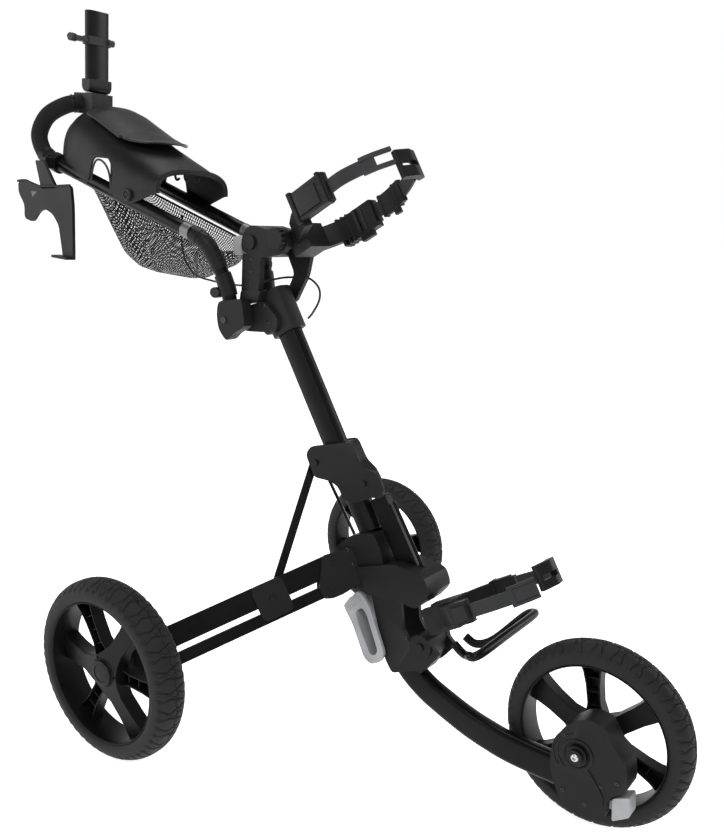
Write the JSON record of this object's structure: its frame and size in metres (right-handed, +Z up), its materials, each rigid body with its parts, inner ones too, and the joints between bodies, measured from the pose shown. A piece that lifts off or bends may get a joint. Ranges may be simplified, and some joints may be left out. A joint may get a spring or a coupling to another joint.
{
  "type": "golf push trolley",
  "caption": "Golf bag push trolley with a folding frame, hinged handle with console and net, bag cradles with straps, umbrella tube and drink bracket.",
  "frame": {"origin": "centre of the bounding box on the floor", "axes": "+X forward towards the front wheel, +Y to the left, +Z up"},
  "size_m": [1.389, 0.796, 1.154],
  "materials": {
    "painted_tube": "satin",
    "black_nylon": "satin",
    "tyre_rubber": "matte",
    "strap_rubber": "matte",
    "grey_plastic": "satin",
    "steel": "satin",
    "net_cloth": "matte"
  },
  "bodies": {
    "frame": {"mast_tube": "painted_tube", "frame_bracket": "black_nylon", "leg_saddle": "black_nylon", "front_rail": "painted_tube", "rail_rod": "painted_tube", "lower_cradle": "black_nylon", "mast_sleeve": "black_nylon", "handle_hinge_pin": "steel", "hinge_post": "black_nylon", "brake_cable": "black_nylon", "lower_strap_far": "strap_rubber"},
    "collar": {"mast_collar": "black_nylon"},
    "leg_right": {"rail_upper_right": "painted_tube", "rail_clamp_right": "black_nylon"},
    "leg_left": {"rail_upper_left": "painted_tube", "rail_clamp_left": "black_nylon"},
    "link_right": {"rail_lower_right": "painted_tube"},
    "link_left": {"rail_lower_left": "painted_tube"},
    "brace_right": {"leg_brace_right": "painted_tube"},
    "brace_left": {"leg_brace_left": "painted_tube"},
    "carrier_right": {"wheel_carrier_right": "black_nylon"},
    "carrier_left": {"wheel_carrier_left": "black_nylon"},
    "wheel_right": {"tyre_right": "tyre_rubber", "rim_right": "black_nylon", "hub_cap_right": "black_nylon"},
    "wheel_left": {"tyre_left": "tyre_rubber", "rim_left": "black_nylon", "hub_cap_left": "black_nylon"},
    "front_leg": {"front_leg": "painted_tube", "leg_knuckle": "black_nylon", "wheel_housing": "black_nylon", "front_axle": "steel"},
    "wheel_front": {"tyre_front": "tyre_rubber", "rim_front": "black_nylon", "hub_cap_front": "black_nylon"},
    "release_button": {"wheel_release_button": "grey_plastic"},
    "latch": {"lower_latch": "grey_plastic"},
    "bag_rest": {"bag_rest_loop": "painted_tube"},
    "lower_strap": {"lower_strap_near": "strap_rubber", "lower_buckle": "black_nylon"},
    "upper_bracket": {"upper_cradle": "black_nylon", "upper_strap_far": "strap_rubber"},
    "upper_strap": {"upper_strap_near": "strap_rubber", "upper_buckle": "black_nylon"},
    "knob": {"bracket_knob": "black_nylon"},
    "cam_lever": {"handle_cam_lever": "grey_plastic"},
    "handle": {"handle_tube_right": "painted_tube", "handle_tube_left": "painted_tube", "handle_socket_right": "black_nylon", "handle_socket_left": "black_nylon", "handle_grip": "strap_rubber", "console_shell": "black_nylon", "mesh_bag": "net_cloth", "umbrella_clamp": "black_nylon", "drink_clamp": "black_nylon"},
    "lid": {"console_lid": "black_nylon"},
    "umbrella": {"umbrella_tube": "painted_tube", "umbrella_strap": "strap_rubber"},
    "drink": {"drink_bracket": "black_nylon"}
  },
  "joints": [
    {"name": "wheel_right_spin", "type": "hinge", "parent": "carrier_right", "child": "wheel_right", "pos_m": [-0.1045, -0.37, 0.146], "axis": [0, 1, 0], "continuous": true},
    {"name": "wheel_left_spin", "type": "hinge", "parent": "carrier_left", "child": "wheel_left", "pos_m": [-0.1045, 0.37, 0.146], "axis": [0, 1, 0], "continuous": true},
    {"name": "wheel_front_spin", "type": "hinge", "parent": "front_leg", "child": "wheel_front", "pos_m": [0.5485, 0, 0.146], "axis": [0, 1, 0], "continuous": true},
    {"name": "leg_right_fold", "type": "hinge", "parent": "frame", "child": "leg_right", "pos_m": [0.06865, -0.05023, 0.28185], "axis": [-0.6613, 0.6031, -0.4461], "range_deg": [0, 60]},
    {"name": "leg_left_fold", "type": "hinge", "parent": "frame", "child": "leg_left", "pos_m": [0.06865, 0.05023, 0.28185], "axis": [0.6613, 0.6031, 0.4461], "range_deg": [0, 60]},
    {"name": "link_right_fold", "type": "hinge", "parent": "frame", "child": "link_right", "pos_m": [0.08005, -0.06547, 0.24434], "axis": [-0.6613, 0.6031, -0.4461], "range_deg": [0, 60]},
    {"name": "carrier_right_turn", "type": "hinge", "parent": "leg_right", "child": "carrier_right", "pos_m": [-0.08939, -0.3094, 0.16576], "axis": [-0.6613, 0.6031, -0.4461], "range_deg": [-60, 0]},
    {"name": "link_left_fold", "type": "hinge", "parent": "frame", "child": "link_left", "pos_m": [0.08005, 0.06547, 0.24434], "axis": [0.6613, 0.6031, 0.4461], "range_deg": [0, 60]},
    {"name": "carrier_left_turn", "type": "hinge", "parent": "leg_left", "child": "carrier_left", "pos_m": [-0.08939, 0.3094, 0.16576], "axis": [0.6613, 0.6031, 0.4461], "range_deg": [-60, 0]},
    {"name": "collar_slide", "type": "slide", "parent": "frame", "child": "collar", "axis": [-0.5592, 0, 0.829], "range_m": [0, 0.1321]},
    {"name": "brace_right_turn", "type": "hinge", "parent": "collar", "child": "brace_right", "pos_m": [-0.00745, -0.02, 0.43554], "axis": [-0.6613, 0.6031, -0.4461], "range_deg": [-16.01, 0]},
    {"name": "brace_left_turn", "type": "hinge", "parent": "collar", "child": "brace_left", "pos_m": [-0.00745, 0.02, 0.43554], "axis": [0.6613, 0.6031, 0.4461], "range_deg": [-16.01, 0]},
    {"name": "front_leg_fold", "type": "hinge", "parent": "frame", "child": "front_leg", "pos_m": [0.2455, 0, 0.184], "axis": [0, 1, 0], "range_deg": [0, 50]},
    {"name": "release_button_press", "type": "slide", "parent": "front_leg", "child": "release_button", "axis": [-1, 0, 0], "range_m": [0, 0.003], "stiffness_N_per_m": 500, "springref_m": -0.002},
    {"name": "latch_swing", "type": "hinge", "parent": "frame", "child": "latch", "pos_m": [0.1075, 0, 0.24], "axis": [0, 1, 0], "range_deg": [0, 12]},
    {"name": "bag_rest_fold", "type": "hinge", "parent": "frame", "child": "bag_rest", "pos_m": [0.2995, 0, 0.206], "axis": [0, 1, 0], "range_deg": [-15, 0]},
    {"name": "lower_strap_swing", "type": "hinge", "parent": "frame", "child": "lower_strap", "pos_m": [0.34016, -0.05, 0.29062], "axis": [-0.5592, 0, 0.829], "range_deg": [-54, 0]},
    {"name": "upper_bracket_tilt", "type": "hinge", "parent": "frame", "child": "upper_bracket", "pos_m": [-0.0995, 0, 0.8], "axis": [0, 1, 0], "range_deg": [-30, 0]},
    {"name": "upper_strap_swing", "type": "hinge", "parent": "upper_bracket", "child": "upper_strap", "pos_m": [0.03327, -0.068, 0.86969], "axis": [-0.5592, 0, 0.829], "range_deg": [-26, 0]},
    {"name": "bracket_knob_turn", "type": "hinge", "parent": "frame", "child": "knob", "pos_m": [-0.0995, 0, 0.8], "axis": [0, 1, 0], "range_deg": [0, 270]},
    {"name": "handle_fold", "type": "hinge", "parent": "frame", "child": "handle", "pos_m": [-0.1925, 0, 0.654], "axis": [0, 1, 0], "range_deg": [-95, 0], "deforming": ["brake_cable"]},
    {"name": "cam_lever_swing", "type": "hinge", "parent": "frame", "child": "cam_lever", "pos_m": [-0.1865, 0, 0.79], "axis": [0, 1, 0], "range_deg": [0, 60]},
    {"name": "console_lid_swing", "type": "hinge", "parent": "handle", "child": "lid", "pos_m": [-0.5445, 0, 0.985], "axis": [0, -1, 0], "range_deg": [0, 75]},
    {"name": "umbrella_tilt", "type": "hinge", "parent": "handle", "child": "umbrella", "pos_m": [-0.6045, 0, 1.026], "axis": [0, 1, 0], "range_deg": [-20, 20]},
    {"name": "drink_swivel", "type": "hinge", "parent": "handle", "child": "drink", "pos_m": [-0.6045, -0.118, 0.86], "axis": [0, 0, 1], "range_deg": [0, 30]}
  ],
  "couplings": [
    {"joint": "leg_left_fold", "follows": "leg_right_fold", "ratio": 1},
    {"joint": "link_right_fold", "follows": "leg_right_fold", "ratio": 1},
    {"joint": "carrier_right_turn", "follows": "leg_right_fold", "ratio": -1},
    {"joint": "brace_right_turn", "follows": "leg_right_fold", "ratio": -0.2667},
    {"joint": "link_left_fold", "follows": "leg_right_fold", "ratio": 1},
    {"joint": "carrier_left_turn", "follows": "leg_right_fold", "ratio": -1},
    {"joint": "brace_left_turn", "follows": "leg_right_fold", "ratio": -0.2667},
    {"joint": "collar_slide", "follows": "leg_right_fold", "m_per_rad": 0.12605}
  ]
}
